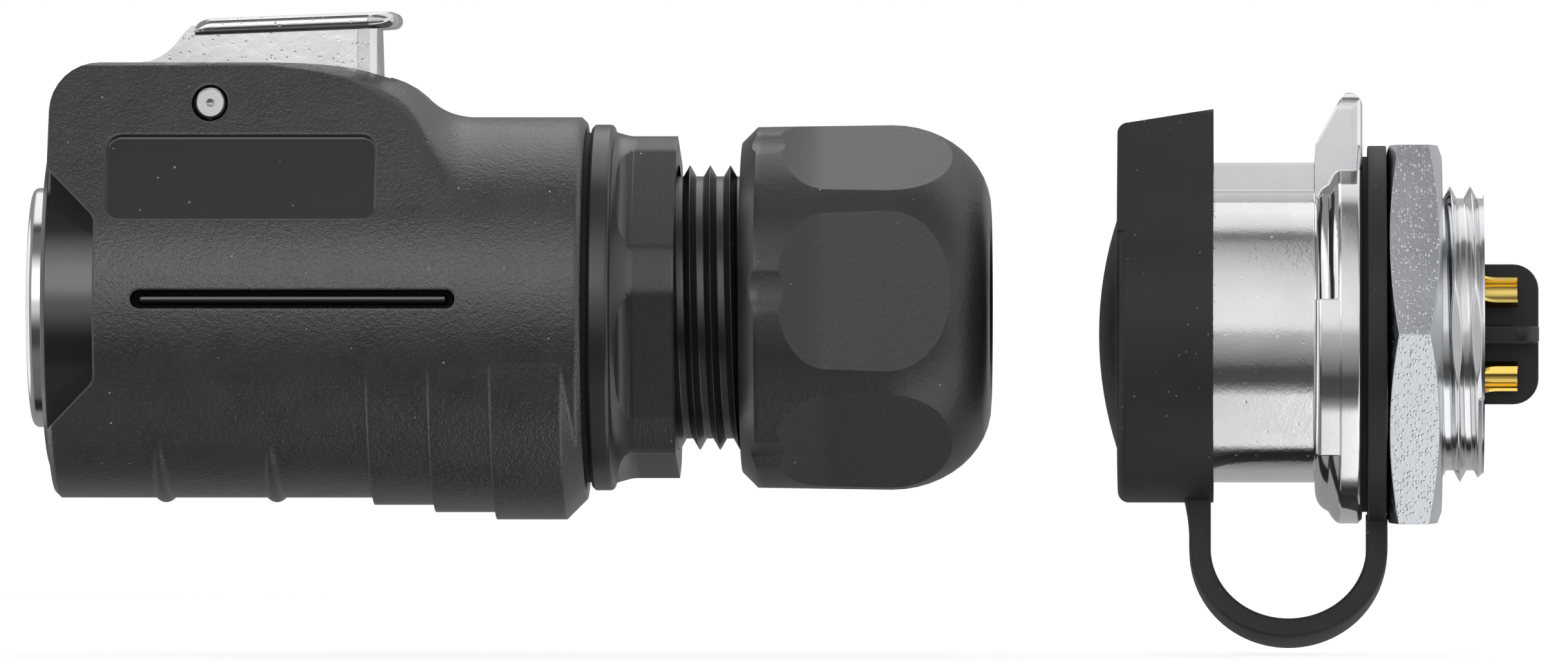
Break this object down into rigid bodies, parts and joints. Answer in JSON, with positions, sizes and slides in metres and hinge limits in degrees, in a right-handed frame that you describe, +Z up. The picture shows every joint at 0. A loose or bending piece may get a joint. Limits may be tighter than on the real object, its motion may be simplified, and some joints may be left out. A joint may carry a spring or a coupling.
{
  "type": "circular connector plug and socket",
  "caption": "Latching circular cable plug with a screw gland, and its panel socket with a hexagon nut, solder cups and a strapped rubber dust cap.",
  "frame": {"origin": "on the socket's axis, in the panel plane at the rear face of its flange", "axes": "+X along both axes, from the mating ends towards the cable and the solder cups; +Z up, towards the latch and the catch horn; +Y away from the camera"},
  "size_m": [0.1118, 0.0324, 0.0473],
  "materials": {
    "shell_plastic": "spark-textured black",
    "liner_plastic": "glossy black",
    "gland_plastic": "satin black",
    "insulator": "satin black",
    "sleeve_metal": "bright nickel plating",
    "latch_metal": "plated die casting",
    "pin_steel": "turned steel",
    "spring_steel": "drawn wire",
    "contact_gold": "gold plating",
    "socket_chrome": "bright plating over a casting",
    "nut_zinc": "blue zinc plating",
    "cap_rubber": "matte black rubber",
    "seal_rubber": "black rubber"
  },
  "bodies": {
    "housings": {"plug_shell": "shell_plastic", "front_liner": "liner_plastic", "mating_sleeve": "sleeve_metal", "plug_insert": "insulator", "plug_contacts": "contact_gold", "latch_pin": "pin_steel", "latch_spring": "spring_steel", "shell_gasket": "seal_rubber", "back_shell": "gland_plastic", "socket_shell": "socket_chrome", "interface_seal": "seal_rubber", "socket_insert": "insulator", "socket_contacts": "contact_gold", "panel_seal": "seal_rubber", "strap_ring": "cap_rubber", "cap_strap": "cap_rubber"},
    "latch": {"latch_lever": "latch_metal"},
    "clamp": {"clamp_cage": "gland_plastic", "cable_seal": "seal_rubber"},
    "gland_nut": {"gland_nut": "gland_plastic"},
    "panel_nut": {"panel_nut": "nut_zinc"},
    "dust_cap": {"dust_cap": "cap_rubber"}
  },
  "joints": [
    {"name": "latch_press", "type": "hinge", "parent": "housings", "child": "latch", "pos_m": [-0.0851, 0, 0.0171], "axis": [0, 1, 0], "range_deg": [0, 8], "stiffness_Nm_per_rad": 0.6, "springref_deg": -5.73, "deforming": ["latch_spring"]},
    {"name": "clamp_slide", "type": "slide", "parent": "housings", "child": "clamp", "axis": [-1, 0, 0], "range_m": [0, 0.0045]},
    {"name": "gland_nut_turn", "type": "hinge", "parent": "clamp", "child": "gland_nut", "pos_m": [-0.037, 0, 0.002], "axis": [-1, 0, 0], "range_deg": [0, 1080]},
    {"name": "panel_nut_turn", "type": "hinge", "parent": "housings", "child": "panel_nut", "pos_m": [0.0039, 0, 0], "axis": [1, 0, 0], "continuous": true},
    {"name": "cap_pull", "type": "slide", "parent": "housings", "child": "dust_cap", "axis": [-1, 0, 0], "range_m": [0, 0.007], "deforming": ["cap_strap"]}
  ],
  "couplings": [
    {"joint": "clamp_slide", "follows": "gland_nut_turn", "m_per_rad": 0.00023873}
  ]
}
